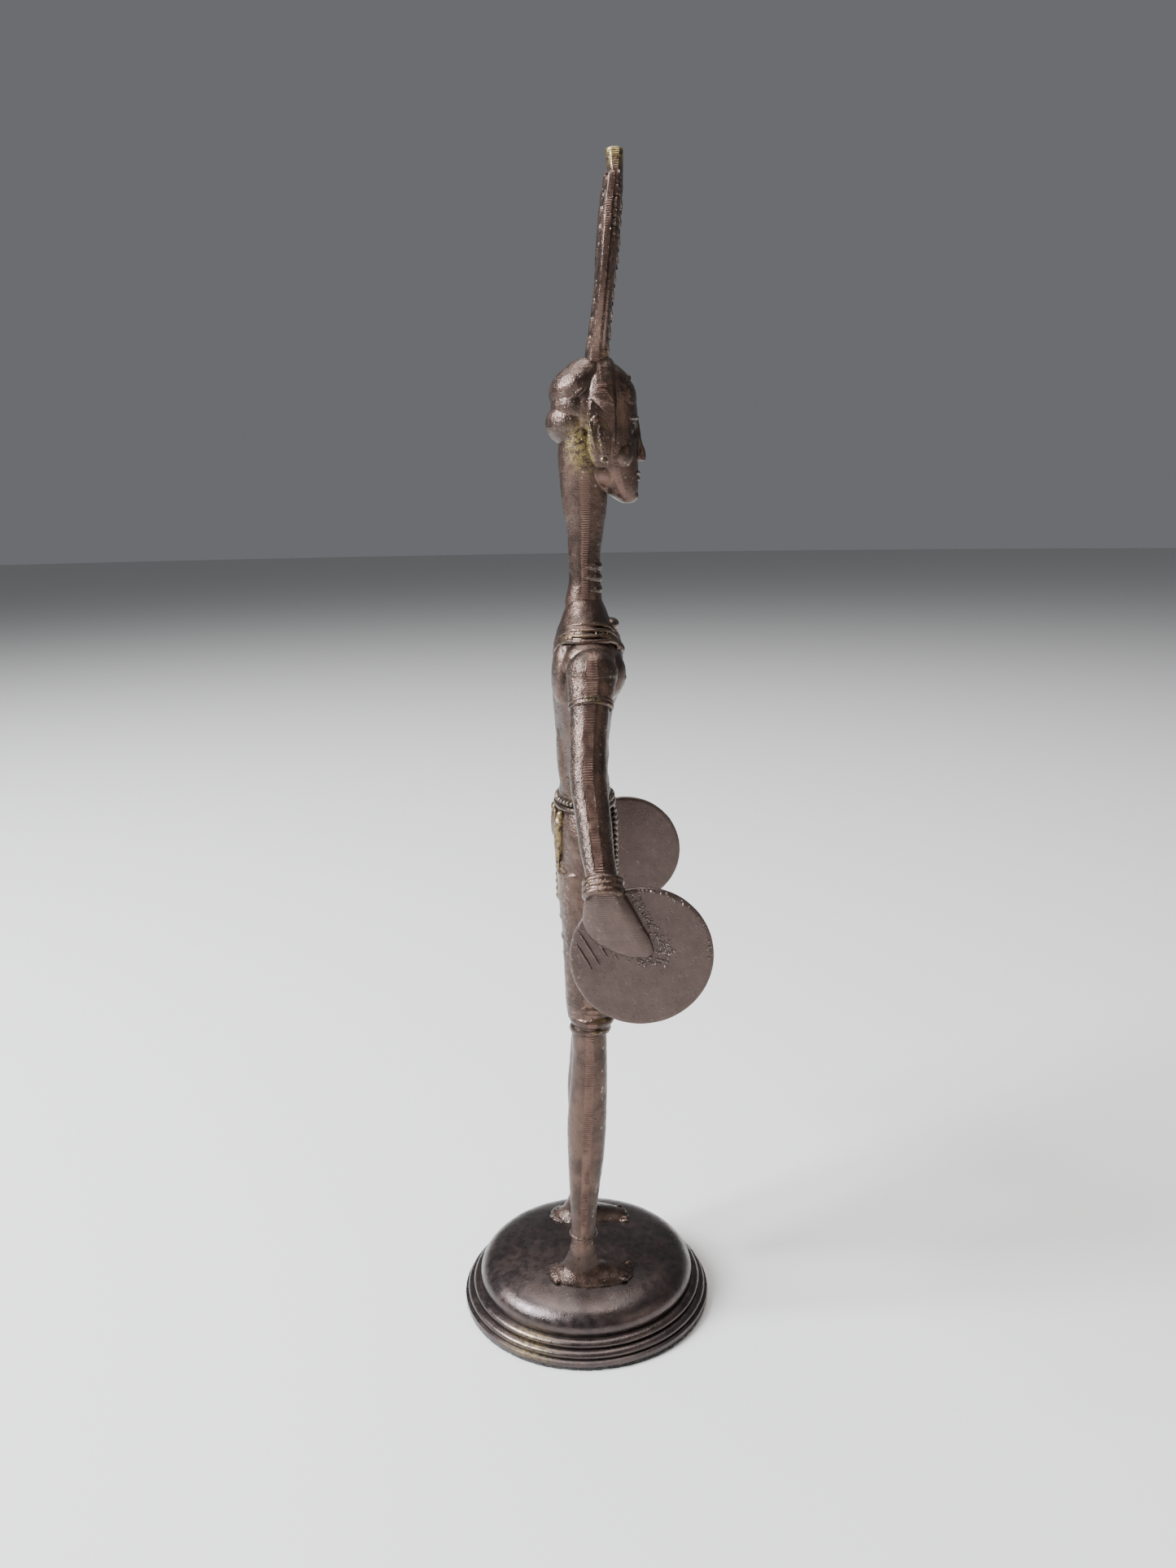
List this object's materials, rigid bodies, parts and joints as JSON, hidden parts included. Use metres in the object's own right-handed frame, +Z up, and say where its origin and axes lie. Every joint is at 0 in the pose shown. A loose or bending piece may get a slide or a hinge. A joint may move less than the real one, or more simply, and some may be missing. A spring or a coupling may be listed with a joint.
{
  "type": "dancer statuette",
  "caption": "Cast bronze statuette of a standing dancer with a tall plate crest, holding a flat cymbal in each hand, on a round moulded foot.",
  "frame": {"origin": "centre of the underside, on the surface it stands on", "axes": "+Z up; the dancer faces -Y; the dancer's right hand is at -X"},
  "size_m": [0.1028, 0.0692, 0.3],
  "materials": {
    "patinated_bronze": "dark brown patina, hand filed",
    "ornament_bronze": "brown patina rubbed to yellow on the high points",
    "base_bronze": "dark brown patina, turned",
    "felt": "dark felt with a frayed edge",
    "screw_steel": "plain steel"
  },
  "bodies": {
    "root": {"base": "base_bronze", "base_felt": "felt", "screw_washers": "screw_steel", "foot_screws": "screw_steel", "right_leg": "patinated_bronze", "left_leg": "patinated_bronze", "right_anklet": "ornament_bronze", "left_anklet": "ornament_bronze", "right_knee_cuff": "ornament_bronze", "left_knee_cuff": "ornament_bronze", "trousers": "patinated_bronze", "hip_belt": "ornament_bronze", "front_apron": "ornament_bronze", "back_drape": "ornament_bronze", "right_tassel": "ornament_bronze", "left_tassel": "ornament_bronze", "torso": "patinated_bronze", "collar": "ornament_bronze", "neck_rings": "ornament_bronze", "head": "patinated_bronze", "right_ear_drop": "ornament_bronze", "left_ear_drop": "ornament_bronze", "crest": "patinated_bronze", "right_arm": "patinated_bronze", "left_arm": "patinated_bronze", "right_armlet": "ornament_bronze", "left_armlet": "ornament_bronze", "right_bangle": "ornament_bronze", "left_bangle": "ornament_bronze", "right_hand": "patinated_bronze", "left_hand": "patinated_bronze", "right_cymbal": "patinated_bronze", "left_cymbal": "patinated_bronze"}
  },
  "joints": []
}
